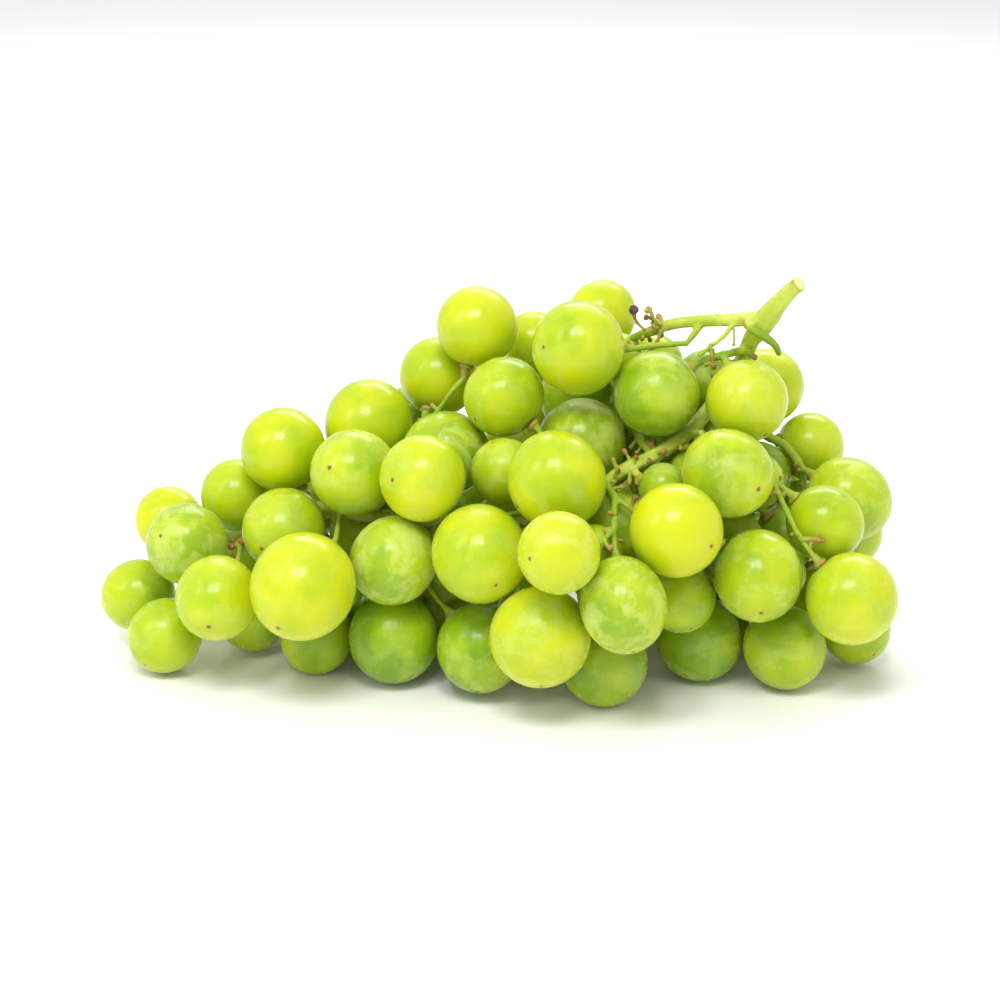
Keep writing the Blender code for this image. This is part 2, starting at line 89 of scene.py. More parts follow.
# the camera looks down by the tilt, from the distance, at a point just under the middle of the bunch
tilt = math.radians(20.0)
distance = 0.7
look = Vector((0, math.cos(tilt), -math.sin(tilt)))
up = Vector((0, math.sin(tilt), math.cos(tilt)))
aim = Vector((0.0019, 0, 0.0493)) - up * 0.0056
lens = bpy.data.cameras.new("camera")
lens.sensor_width = 36.0
lens.lens = 98.6
camera = bpy.data.objects.new("camera", lens)
scene.collection.objects.link(camera)
camera.location = aim - look * distance
camera.rotation_euler = look.to_track_quat("-Z", "Y").to_euler()
scene.camera = camera


# ---- Grape skin: a thin tight green-yellow skin over clear flesh, so light comes through it, with a pale
# waxy bloom that rubs off in patches, a few brown pores, and the brown scar of the flower at its far end.


def new_material(name):
    """An empty node material, with its tree and its shader."""
    material = bpy.data.materials.new(name)
    material.use_nodes = True
    tree = material.node_tree
    return material, tree, tree.nodes["Principled BSDF"]


def add_node(tree, kind, **settings):
    """A node of a kind, with named settings or numbered and named input values."""
    node = tree.nodes.new(kind)
    for key, value in settings.items():
        if key in node.inputs:
            node.inputs[key].default_value = value
        else:
            setattr(node, key, value)
    return node


def noise(tree, place, scale, detail=3.0, rough=0.5, twist=0.0):
    """Cloudy noise of a number of cells to the metre."""
    settings = {"Scale": scale, "Detail": detail, "Roughness": rough, "Distortion": twist}
    node = add_node(tree, "ShaderNodeTexNoise", **settings)
    tree.links.new(place, node.inputs["Vector"])
    return node.outputs["Fac"]


def ramp(tree, value, low, high, start=0.0, end=1.0, smooth=True):
    """Value carried from one span to another, held at its ends."""
    node = add_node(tree, "ShaderNodeMapRange")
    node.interpolation_type = "SMOOTHSTEP" if smooth else "LINEAR"
    tree.links.new(value, node.inputs["Value"])
    for key, number in (("From Min", low), ("From Max", high), ("To Min", start), ("To Max", end)):
        node.inputs[key].default_value = number
    return node.outputs["Result"]


def maths(tree, operation, first, second):
    """One sum of two values, each a socket or a number."""
    node = add_node(tree, "ShaderNodeMath")
    node.operation = operation
    for number, value in enumerate((first, second)):
        if isinstance(value, (int, float)):
            node.inputs[number].default_value = value
        else:
            tree.links.new(value, node.inputs[number])
    return node.outputs[0]


def blend(tree, share, first, second):
    """Two colours, each a socket or a colour, mixed by a share."""
    node = add_node(tree, "ShaderNodeMix")
    node.data_type = "RGBA"
    for key, value in (("Factor", share), ("A", first), ("B", second)):
        sockets = [socket for socket in node.inputs if socket.name == key and socket.enabled]
        if isinstance(value, (int, float)):
            sockets[0].default_value = value
        elif isinstance(value, tuple):
            sockets[0].default_value = (*value, 1.0)
        else:
            tree.links.new(value, sockets[0])
    return [socket for socket in node.outputs if socket.enabled][0]


def read(tree, name):
    """A value stored on the piece's own points."""
    node = add_node(tree, "ShaderNodeAttribute")
    node.attribute_name = name
    return node.outputs["Fac"]


def grape_skin():
    """Green to yellow as it ripens, cloudy, painted shade on the lowest berries, veiled by bloom, dotted
    with pores.
    """
    material, tree, shader = new_material("grape_skin")
    place = add_node(tree, "ShaderNodeTexCoord").outputs["Object"]
    # the tone from green to yellow, which is set darker on the bottom-row berries as painted shade
    ripe_and_shade = read(tree, "ripeness_and_shade")
    clouds = noise(tree, place, 75.0, 2.0, 0.5, 0.3)
    mottle = noise(tree, place, 260.0, 3.0, 0.55, 0.4)
    fine = noise(tree, place, 900.0, 3.0, 0.6)
    ripe_and_shade = maths(tree, "ADD", ripe_and_shade, ramp(tree, clouds, 0.3, 0.7, -0.22, 0.22))
    ripe_and_shade = maths(tree, "ADD", ripe_and_shade, ramp(tree, mottle, 0.3, 0.7, -0.06, 0.06))
    node = add_node(tree, "ShaderNodeValToRGB")
    tree.links.new(ripe_and_shade, node.inputs["Fac"])
    stops = node.color_ramp.elements
    stops[0].position = 0.0
    stops[0].color = (0.190, 0.350, 0.002, 1)
    stops[1].position = 1.0
    stops[1].color = (0.600, 0.645, 0.001, 1)
    middle = stops.new(0.45)
    middle.color = (0.410, 0.545, 0.001, 1)
    flesh = node.outputs["Color"]
    # the dusty bloom, in patches with a soft torn edge, thin where the berry was touched
    patches = noise(tree, place, 120.0, 4.0, 0.62, 0.9)
    dust = noise(tree, place, 520.0, 4.0, 0.65, 0.3)
    cover = maths(tree, "ADD", patches, maths(tree, "MULTIPLY", dust, 0.35))
    cover = ramp(tree, cover, 0.60, 0.84)
    cover = maths(tree, "MULTIPLY", cover, read(tree, "bloom"))
    haze = maths(tree, "MULTIPLY", read(tree, "bloom"), 0.07)
    veil = maths(tree, "ADD", maths(tree, "MULTIPLY", cover, 0.62), haze)
    skin = blend(tree, veil, flesh, (0.600, 0.700, 0.200))
    # pores: small pinkish brown dots, in some cells only
    cells = add_node(tree, "ShaderNodeTexVoronoi", Scale=420.0)
    tree.links.new(place, cells.inputs["Vector"])
    chosen = add_node(tree, "ShaderNodeSeparateColor")
    tree.links.new(cells.outputs["Color"], chosen.inputs["Color"])
    dot = ramp(tree, cells.outputs["Distance"], 0.07, 0.15, 1.0, 0.0)
    dot = maths(tree, "MULTIPLY", dot, ramp(tree, chosen.outputs["Red"], 0.965, 0.975))
    skin = blend(tree, maths(tree, "MULTIPLY", dot, 0.5), skin, (0.50, 0.30, 0.10))
    # the flower scar and the paler ring around it, and the greener shoulder by the stem
    scar = read(tree, "flower_angle")
    jag = maths(tree, "ADD", scar, ramp(tree, fine, 0.3, 0.7, -0.015, 0.015))
    skin = blend(tree, ramp(tree, jag, 0.06, 0.16, 0.35, 0.0), skin, (0.60, 0.50, 0.07))
    skin = blend(tree, ramp(tree, jag, 0.030, 0.062, 0.85, 0.0), skin, (0.12, 0.055, 0.022))
    stem = read(tree, "stem_angle")
    skin = blend(tree, ramp(tree, stem, 0.10, 0.75, 0.45, 0.0), skin, (0.42, 0.62, 0.05))
    tree.links.new(skin, shader.inputs["Base Color"])
    dull = ramp(tree, cover, 0.0, 0.8, 0.20, 0.48)
    grain = ramp(tree, dust, 0.35, 0.65, -0.03, 0.05)
    tree.links.new(maths(tree, "ADD", dull, grain), shader.inputs["Roughness"])
    bump = add_node(tree, "ShaderNodeBump", Strength=0.25, Distance=0.0004)
    height = maths(tree, "ADD", maths(tree, "MULTIPLY", mottle, 0.8), maths(tree, "MULTIPLY", fine, 0.16))
    tree.links.new(height, bump.inputs["Height"])
    tree.links.new(bump.outputs["Normal"], shader.inputs["Normal"])
    shader.subsurface_method = "RANDOM_WALK"
    shader.inputs["Subsurface Weight"].default_value = 0.9
    shader.inputs["Subsurface Radius"].default_value = (1.0, 0.95, 0.15)
    shader.inputs["Subsurface Scale"].default_value = 0.007
    shader.inputs["Subsurface Anisotropy"].default_value = 0.3
    shader.inputs["IOR"].default_value = 1.42
    shader.inputs["Specular IOR Level"].default_value = 0.38
    shader.inputs["Coat Weight"].default_value = 0.25
    shader.inputs["Coat Roughness"].default_value = 0.5
    shader.inputs["Coat IOR"].default_value = 1.45
    return material


skin_material = grape_skin()


# ---- Berries: each a round to slightly oval grape, grown from its own short stem. The stem end has a
# shallow dimple, the flower end a small brown scar, and the skin is never quite even.


# metres in a millimetre, and the height in millimetres of the flat places that berries rest on
MM = 0.001
rest_height = 0.02


def vertex_rows(mesh, key):
    """The places or the normals of a mesh's points, one row of three numbers for each."""
    flat = np.empty(len(mesh.vertices) * 3)
    mesh.vertices.foreach_get(key, flat)
    return flat.reshape(-1, 3)


def corners_of(node):
    """A solid's corner points in millimetres."""
    return np.unique(np.round(vertex_rows(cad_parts[node].data, "co") / MM, 4), axis=0)


def fit_oval(points):
    """Centre, half widths and their directions of the oval through the points, leaving out flattened ones.

    The oval is the second-order surface that fits the points best by least squares.
    """
    points = points[points[:, 2] > rest_height]
    middle = points.mean(axis=0)
    x, y, z = (points - middle).T / 10
    terms = np.stack([x * x, y * y, z * z, 2 * x * y, 2 * x * z, 2 * y * z, x, y, z], axis=1)
    a = np.linalg.lstsq(terms, np.ones(len(points)), rcond=None)[0]
    form = np.array([[a[0], a[3], a[4]], [a[3], a[1], a[5]], [a[4], a[5], a[2]]])
    centre = -0.5 * np.linalg.solve(form, a[6:9])
    scale = 1 + centre @ form @ centre
    values, ways = np.linalg.eigh(form / scale)
    return middle + 10 * centre, 10 / np.sqrt(values), ways


stalk_points = corners_of("stalk")


def stem_foot(centre):
    """The middle of the end of the berry stem that points at a berry's centre.

    It is the mean of the stalk's corner points that are within a quarter of a millimetre of the nearest one.
    """
    away = np.linalg.norm(stalk_points - centre, axis=1)
    return stalk_points[away < away.min() + 0.25].mean(axis=0)


def grape_surface(centre, axis, half_width, half_length, stem_way, seed, across=72, along=48):
    """Points of a berry, row by row from its stem end to its flower end, and each point's angles to both.

    The radius is the oval's drawn in by four thousandths, with a slow ripple of three cosines of the
    direction, less a round dimple at the stem, and less a smaller one with a tiny raised nub at the flower
    end. Nothing reaches below the height at which berries rest.
    """
    draw = np.random.default_rng(seed)
    side = np.cross(axis, [0.3, 0.5, 0.8])
    side = side / np.linalg.norm(side)
    other = np.cross(axis, side)
    theta = np.linspace(0, math.pi, along + 1)[:, None]
    phi = np.linspace(0, 2 * math.pi, across, endpoint=False)[None]
    ways = (
        -np.cos(theta)[..., None] * axis
        + (np.sin(theta) * np.cos(phi))[..., None] * side
        - (np.sin(theta) * np.sin(phi))[..., None] * other
    )
    slant = np.cos(theta)
    radius = 1 / np.sqrt((slant / half_length) ** 2 + (np.sin(theta) / half_width) ** 2)
    radius = np.broadcast_to(radius, ways.shape[:2]).copy()
    waves = draw.normal(size=(3, 3))
    waves *= np.array([1.6, 2.4, 3.3])[:, None] / np.linalg.norm(waves, axis=1)[:, None]
    starts = draw.uniform(0, 2 * math.pi, 3)
    ripple = np.cos(ways @ waves.T + starts) @ np.array([0.007, 0.004, 0.0025])
    stem_angle = np.arccos(np.clip(ways @ stem_way, -1, 1))
    flower_angle = math.pi - np.broadcast_to(theta, stem_angle.shape)
    dimple = 0.55 * np.exp(-((stem_angle / 0.20) ** 2))
    hollow = 0.16 * np.exp(-((flower_angle / 0.14) ** 2))
    nub = 0.14 * np.exp(-((flower_angle / 0.045) ** 2))
    radius = radius * (1 - 0.004 + ripple) - dimple - hollow + nub
    points = centre + radius[..., None] * ways
    points[..., 2] = np.maximum(points[..., 2], rest_height)
    return points, stem_angle, flower_angle


def closed_grid(rows, columns):
    """Faces of a round grid: a fan at each end, and quads that wrap around between."""
    ring = np.arange(columns)
    after = (ring + 1) % columns
    start = 1 + np.arange(rows - 1)[:, None] * columns
    quads = np.stack([start + ring, start + columns + ring, start + columns + after, start + after], axis=-1)
    last = 1 + (rows - 1) * columns
    top = np.stack([np.zeros_like(ring), 1 + ring, 1 + after], axis=-1)
    bottom = np.stack([np.full_like(ring, last + columns), last + after, last + ring], axis=-1)
    return quads.reshape(-1, 4), top, bottom


def flat_rows(rows):
    """Rows of points or of values as one list, with the first and the last row as a single entry each."""
    return np.concatenate([rows[:1, 0], rows[1:-1].reshape(-1, *rows.shape[2:]), rows[-1:, 0]])


def store_values(mesh, values):
    """Stores named values on a mesh's points, each one number for all of them or one for each."""
    for key, value in values.items():
        value = np.broadcast_to(value, len(mesh.vertices)).astype(np.float32)
        mesh.attributes.new(key, "FLOAT", "POINT").data.foreach_set("value", value)


def grids_mesh(name, grids, values):
    """One mesh of closed grids of points, each a grid whose first and last rows meet in a point."""
    points = []
    faces = []
    filled = 0
    for rows in grids:
        quads, top, bottom = closed_grid(len(rows) - 2, rows.shape[1])
        for group in (top, quads, bottom):
            faces += (group + filled).tolist()
        points.append(flat_rows(rows) * MM)
        filled += len(points[-1])
    mesh = bpy.data.meshes.new(name)
    mesh.from_pydata(np.vstack(points).tolist(), [], faces)
    store_values(mesh, values)
    mesh.shade_smooth()
    return mesh


def grid_mesh(name, rows, values):
    """A closed mesh of one grid of points, with values given for each point or for all."""
    flat_values = {key: flat_rows(np.broadcast_to(value, rows.shape[:2])) for key, value in values.items()}
    return grids_mesh(name, [rows], flat_values)


def add_piece(name, mesh, material, slot, *nodes):
    """A finished piece of the bunch, standing for the solids named."""
    mesh.materials.append(material)
    piece = bpy.data.objects.new(name, mesh)
    scene.collection.objects.link(piece)
    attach(piece, "root")
    if nodes:
        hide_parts(*nodes)
    return piece


# how far the berries have turned yellow, with painted shade on the bottom row, and how dusty they are, where
# they differ from the rest: ripeness, bloom
skin_looks = {
    1: (0.85, 0.15), 3: (0.80, 0.20), 4: (0.60, 0.25), 5: (0.60, 0.10), 6: (0.45, 0.35),
    7: (0.30, 0.45), 8: (0.65, 0.50), 9: (0.70, 0.40), 10: (0.75, 0.30), 11: (0.50, 0.70),
    12: (0.50, 0.35), 13: (0.75, 0.30), 14: (0.45, 0.55), 15: (0.95, 0.15), 16: (0.45, 0.55),
    17: (0.30, 0.40), 18: (0.35, 0.90), 19: (0.70, 0.25), 20: (0.70, 0.60), 21: (0.60, 0.30),
    22: (0.35, 0.95), 23: (0.80, 0.30), 24: (0.55, 0.55), 25: (0.65, 0.10), 26: (0.65, 0.10),
    27: (0.50, 0.15), 28: (0.95, 0.15), 29: (0.35, 0.80), 30: (0.65, 0.30), 31: (0.85, 0.25),
    # the bottom-row berries 36, 37, 40 and 41 are set least ripe: a darker olive that is partly painted
    # shade beneath the berries that overhang them
    32: (0.50, 0.40), 33: (0.45, 0.45), 34: (0.45, 0.35), 35: (0.75, 0.55), 36: (0.20, 0.45),
    37: (0.05, 0.35), 38: (0.35, 0.30), 40: (0.20, 0.40), 41: (0.20, 0.40), 42: (0.35, 0.45),
    43: (0.45, 0.30), 44: (0.25, 0.90), 45: (0.30, 0.85),
}

berry_nodes = sorted(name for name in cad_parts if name.startswith("berry_"))
berry_facts = []
for node in berry_nodes:
    number = int(node.removeprefix("berry_"))
    centre, halves, ways = fit_oval(corners_of(node))
    foot = stem_foot(centre)
    stem_way = (foot - centre) / np.linalg.norm(foot - centre)
    order = np.argsort(halves)
    odd = order[0] if halves[order[1]] - halves[order[0]] > halves[order[2]] - halves[order[1]] else order[2]
    half_length = halves[odd]
    half_width = halves[[k for k in range(3) if k != odd]].mean()
    # an oval within a tenth of a millimetre of a ball points away from its stem
    axis = ways[:, odd] if abs(half_length - half_width) > 0.1 else -stem_way
    if axis @ stem_way > 0:
        axis = -axis
    draw = np.random.default_rng(number)
    ripeness_and_shade, bloom = skin_looks.get(number, (draw.uniform(0.3, 0.7), draw.uniform(0.2, 0.6)))
    points, stem_angle, flower_angle = grape_surface(centre, axis, half_width, half_length, stem_way, number)
    values = {"ripeness_and_shade": ripeness_and_shade, "bloom": bloom, "stem_angle": stem_angle, "flower_angle": flower_angle}
    name = f"grape_{number:02d}"
    add_piece(name, grid_mesh(name, points, values), skin_material, "grape_skin", node)
    berry_facts.append((centre, half_width, half_length, stem_way, foot))


# ---- Inner berries: the grapes deep inside, seen through the gaps. They have no solid of their own, so each
# is put in its own hollow and drawn in until it clears the other berries, and the hollows that are left are
# filled with more. Stems between the stalk's corner points can still pass through one of those.

# place across, in depth and in height, and the berry's width, in millimetres
inner_berries = (
    (11, 41, 73, 17),
    (3, -8, 54, 17),
    (42, 32, 70, 18),
    (22, 29, 62, 20),
    (41, 17, 50, 19),
    (56, 29, 54, 19),
    (39, -1, 42, 17),
    (31, -17, 42, 18),
    (62, -3, 34, 15),
    (69, 16, 44, 19),
    (76, 5, 31, 17),
    (-34, 7, 31, 16),
    (-13, -2, 22, 15),
    (-35, 8, 10, 19),
    (-12, 4, 10, 19),
    (10, 1, 10, 19),
    (33, 1, 10, 19),
    (70, 2, 10, 18),
    (55, 25, 67, 15),
    (-21, 42, 53, 16),
    (-66, 25, 18, 19),
)


# a distance in millimetres beyond anything in the bunch
FAR = 1e6
# clear space that is asked for between two berries, and between a berry and the stalk's corner points
berry_gap = 0.25
stalk_gap = 0.3
# how far below the floor a berry's round may reach, where it rests and is flattened
floor_sink = 0.3


def fit_hollows(places, halves, others, sizes, rounds=300):
    """Moves the inner berries off their neighbours and the stalk, and shrinks any that still has no room.

    Each round pushes a berry from every berry that it overlaps, then from the nearest corner point of the
    stalk, then a little back to where it was put, less so by the round. halves are the berries' half widths.
    """
    start = places.copy()
    places = places.copy()
    count = len(places)
    rows = np.arange(count)
    reach = np.concatenate([sizes, halves])
    berry_push = 0.35
    stalk_push = 0.5
    home_pull = 0.03
    pull_fade = 0.98
    least_berry_gap = 0.15
    least_stalk_gap = 0.2
    smallest = 4.0
    for turn in range(rounds):
        off = places[:, None] - np.vstack([others, places])[None]
        away = np.linalg.norm(off, axis=2)
        away[rows, len(others) + rows] = FAR
        lack = np.clip(halves[:, None] + reach[None] + berry_gap - away, 0, None)
        places = places + berry_push * (off / away[..., None] * lack[..., None]).sum(axis=1)
        off = places[:, None] - stalk_points[None]
        away = np.linalg.norm(off, axis=2)
        worst = away.argmin(axis=1)
        lack = np.clip(halves + stalk_gap - away[rows, worst], 0, None)
        places = places + stalk_push * off[rows, worst] / away[rows, worst][:, None] * lack[:, None]
        places = places + (start - places) * home_pull * pull_fade**turn
        places[:, 2] = np.maximum(places[:, 2], halves - floor_sink)
    away = np.linalg.norm(places[:, None] - np.vstack([others, places])[None], axis=2)
    away[rows, len(others) + rows] = FAR
    slack = (away - reach[None]).min(axis=1) - least_berry_gap
    away = np.linalg.norm(places[:, None] - stalk_points[None], axis=2)
    slack = np.minimum(slack, away.min(axis=1) - least_stalk_gap)
    return places, np.clip(np.minimum(halves, slack), smallest, None)


inner = np.array(inner_berries, float)
outer_centres = np.array([fact[0] for fact in berry_facts])
outer_sizes = np.array([max(fact[1], fact[2]) for fact in berry_facts])
hollows, inner_sizes = fit_hollows(inner[:, :3], inner[:, 3] / 2, outer_centres, outer_sizes)


# the pocket in the front of the bunch where the stems lie open to view, and how far it reaches
open_pocket = np.array((39.0, -20.0, 55.0))
pocket_reach = 9


def fill_hollows(places, sizes, smallest=5.2, largest=9.5, most=40):
    """Puts a berry in the widest hollow left between the berries and the stalk's corners, again and again.

    A spot counts as inside the bunch where rays from it meet a berry in at least 19 of 26 directions. The
    room of a spot is its distance to the nearest skin, corner of the stalk or floor.
    """
    step = 2.0
    ray_length = 40
    enclosed = 19
    low = places.min(axis=0)
    high = places.max(axis=0)
    ticks = [np.arange(low[k], high[k], step) for k in range(3)]
    spots = np.stack(np.meshgrid(*ticks, indexing="ij"), axis=-1).reshape(-1, 3)
    room = np.full(len(spots), FAR)
    for centre, size in zip(places, sizes):
        room = np.minimum(room, np.linalg.norm(spots - centre, axis=1) - size)
    spots = spots[room > smallest]
    room = room[room > smallest]
    stalk_room = np.array([np.linalg.norm(stalk_points - spot, axis=1).min() for spot in spots])
    room = np.minimum(np.minimum(room, stalk_room), spots[:, 2] + floor_sink)
    sides = [-1, 0, 1]
    rays = np.stack(np.meshgrid(sides, sides, sides, indexing="ij"), axis=-1).reshape(-1, 3)
    rays = rays[np.any(rays != 0, axis=1)].astype(float)
    rays /= np.linalg.norm(rays, axis=1)[:, None]
    off = places[None] - spots[:, None]
    along = np.einsum("sbk,rk->srb", off, rays)
    miss = (off**2).sum(axis=2)[:, None] - along**2
    met = (along > 0) & (along < ray_length) & (miss < sizes[None, None] ** 2)
    room[met.any(axis=2).sum(axis=1) < enclosed] = 0
    room[np.linalg.norm(spots - open_pocket, axis=1) < pocket_reach] = 0
    found = []
    while len(found) < most and room.max() > smallest + berry_gap:
        best = int(room.argmax())
        size = min(largest, room[best] - berry_gap)
        found.append((spots[best], size))
        room = np.minimum(room, np.linalg.norm(spots - spots[best], axis=1) - size)
    return found


everyone = np.vstack([outer_centres, hollows])
everyone_sizes = np.concatenate([outer_sizes, inner_sizes])
filled_hollows = fill_hollows(everyone, everyone_sizes)
hollows = np.vstack([hollows] + [spot[None] for spot, _ in filled_hollows])
inner_sizes = np.concatenate([inner_sizes, [size for _, size in filled_hollows]])
for number, (centre, size) in enumerate(zip(hollows, inner_sizes)):
    foot = stem_foot(centre)
    stem_way = (foot - centre) / np.linalg.norm(foot - centre)
    draw = np.random.default_rng(500 + number)
    points, stem_angle, flower_angle = grape_surface(centre, -stem_way, size, size, stem_way, 500 + number)
    values = {
        "ripeness_and_shade": 0.75 if number == 0 else draw.uniform(0.2, 0.5),
        "bloom": draw.uniform(0.3, 0.7),
        "stem_angle": stem_angle,
        "flower_angle": flower_angle,
    }
    name = f"inner_grape_{number + 1:02d}"
    add_piece(name, grid_mesh(name, points, values), skin_material, "grape_skin")
    berry_facts.append((centre, size, size, stem_way, foot))


# ---- Stalk: the green woody skeleton of the bunch, uneven, browned where twigs dried and where it holds a
# berry, and dotted with corky pores. It grew as one piece, so it is one skin.


def grown_stalk():
    """The stalk's solid with its corners and joints rounded over.

    The surface of the solid is redrawn in small squares and relaxed, so that its joints flow into each
    other. Returns the mesh.
    """
    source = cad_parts["stalk"].data
    rough = bmesh.new()
    rough.from_mesh(source)
    bmesh.ops.remove_doubles(rough, verts=rough.verts, dist=1e-6)
    mesh = bpy.data.meshes.new("stalk_rough")
    rough.to_mesh(mesh)
    rough.free()
    holder = bpy.data.objects.new("stalk_rough", mesh)
    scene.collection.objects.link(holder)
    squares = holder.modifiers.new("squares", "REMESH")
    squares.mode = "VOXEL"
    squares.voxel_size = 0.45 * MM
    relax = holder.modifiers.new("relax", "SMOOTH")
    relax.factor = 0.5
    relax.iterations = 5
    bpy.context.view_layer.update()
    grown = bpy.data.meshes.new_from_object(holder.evaluated_get(bpy.context.evaluated_depsgraph_get()))
    bpy.data.objects.remove(holder, do_unlink=True)
    return grown


def smooth_value(points, scale, seed, octaves=3):
    """Soft noise at the points: a sum of cosines of random directions, finer and fainter by octave."""
    draw = np.random.default_rng(seed)
    total = np.zeros(len(points))
    for octave in range(octaves):
        ways = draw.normal(size=(7, 3)) * scale * 2**octave
        starts = draw.uniform(0, 2 * math.pi, 7)
        total += np.cos(points @ ways.T + starts).sum(axis=1) / (7 * 1.6**octave)
    return total


stalk_mesh = grown_stalk()
count = len(stalk_mesh.vertices)
skin_points = vertex_rows(stalk_mesh, "co") / MM
skin_normals = vertex_rows(stalk_mesh, "normal")
# the bark lies a tenth of a millimetre outside the relaxed solid, in long soft waves and finer ones
swell = 0.10 * smooth_value(skin_points, 0.35, 3) + 0.07 * smooth_value(skin_points, 1.6, 4) + 0.10
moved = skin_points + skin_normals * swell[:, None]
stalk_mesh.vertices.foreach_set("co", (moved * MM).ravel())
near_foot = np.full(count, FAR)
for foot in [fact[4] for fact in berry_facts]:
    near_foot = np.minimum(near_foot, np.linalg.norm(skin_points - foot, axis=1))
foot_reach = 1.5
# joints browned where twigs dried: place across, in depth and in height, and reach, in millimetres
dry_joints = (
    (63, 4, 88, 1.6),
    (41, 14, 87, 3.4),
    (31, -6, 57, 3.0),
    (33, -6, 55, 2.5),
    (31, -8, 40, 2.6),
    (70, 2, 59, 2.5),
    (76, 2, 55, 3.0),
    (81, 2, 51, 2.5),
    (76, -4, 43, 2.5),
    (68, -8, 40, 2.0),
    (-66, 6, 30, 3.0),
    (-48, 2, 40, 2.5),
    (-19, 0, 38, 2.5),
    (5, 20, 72, 3.0),
)
dried = np.exp(-((near_foot / foot_reach) ** 2)) * 0.85
for joint in dry_joints:
    away = np.linalg.norm(skin_points - joint[:3], axis=1)
    dried = np.maximum(dried, np.exp(-((away / joint[3] / 1.3) ** 2)))
# the two arms that stay dark green, and the heavy stems, off which the thin stems are set darker green
side_arm = ((66, 2, 88), (69, 3, 86), (72, 5, 83), (73, 8, 80))
front_arm = ((61, 6, 81), (56, 5, 80), (51, 5, 78))
heavy_stem = (
    (77, 0, 101),
    (69, 5, 90),
    (66, 8, 84),
    (64, 11, 77),
    (50, 1, 61),
    (33, -9, 55),
    (2, -5, 39),
    (-38, 2, 39),
    (-66, 7, 29),
)


def distance_to_line(points, line):
    """Distance from each point to the nearest spot on a bent line."""
    line = np.array(line, float)
    nearest = np.full(len(points), FAR)
    for first, second in zip(line[:-1], line[1:]):
        way = second - first
        share = np.clip((points - first) @ way / (way @ way), 0, 1)
        nearest = np.minimum(nearest, np.linalg.norm(points - first - share[:, None] * way, axis=1))
    return nearest


arm_reach = 1.9
arm_distance = np.minimum(distance_to_line(skin_points, side_arm), distance_to_line(skin_points, front_arm))
dark = np.exp(-((arm_distance / arm_reach) ** 4))
# stems count as thin from 4 mm off the heavy ones to 12 mm off, below the height of the fork, and are darker
# green, partly as painted shade
fork_height = 84
thin = np.clip((distance_to_line(skin_points, heavy_stem) - 4.0) / 8.0, 0, 1)
thin = thin * (skin_points[:, 2] < fork_height)
# depth below the face of the cut, and a depth that counts as uncut for the rest of the wood
cut_middle = np.array((76.85, -0.22, 101.0))
cut_way = np.array((2, -1, 2)) / 3
cut_reach = 6
uncut = 50.0
cut_depth = (cut_middle - skin_points) @ cut_way
near_cut = np.where(np.linalg.norm(skin_points - cut_middle, axis=1) < cut_reach, cut_depth, uncut)
store_values(stalk_mesh, {"dried": dried, "dark": dark, "near_cut": near_cut, "thin": thin})
stalk_mesh.shade_smooth()


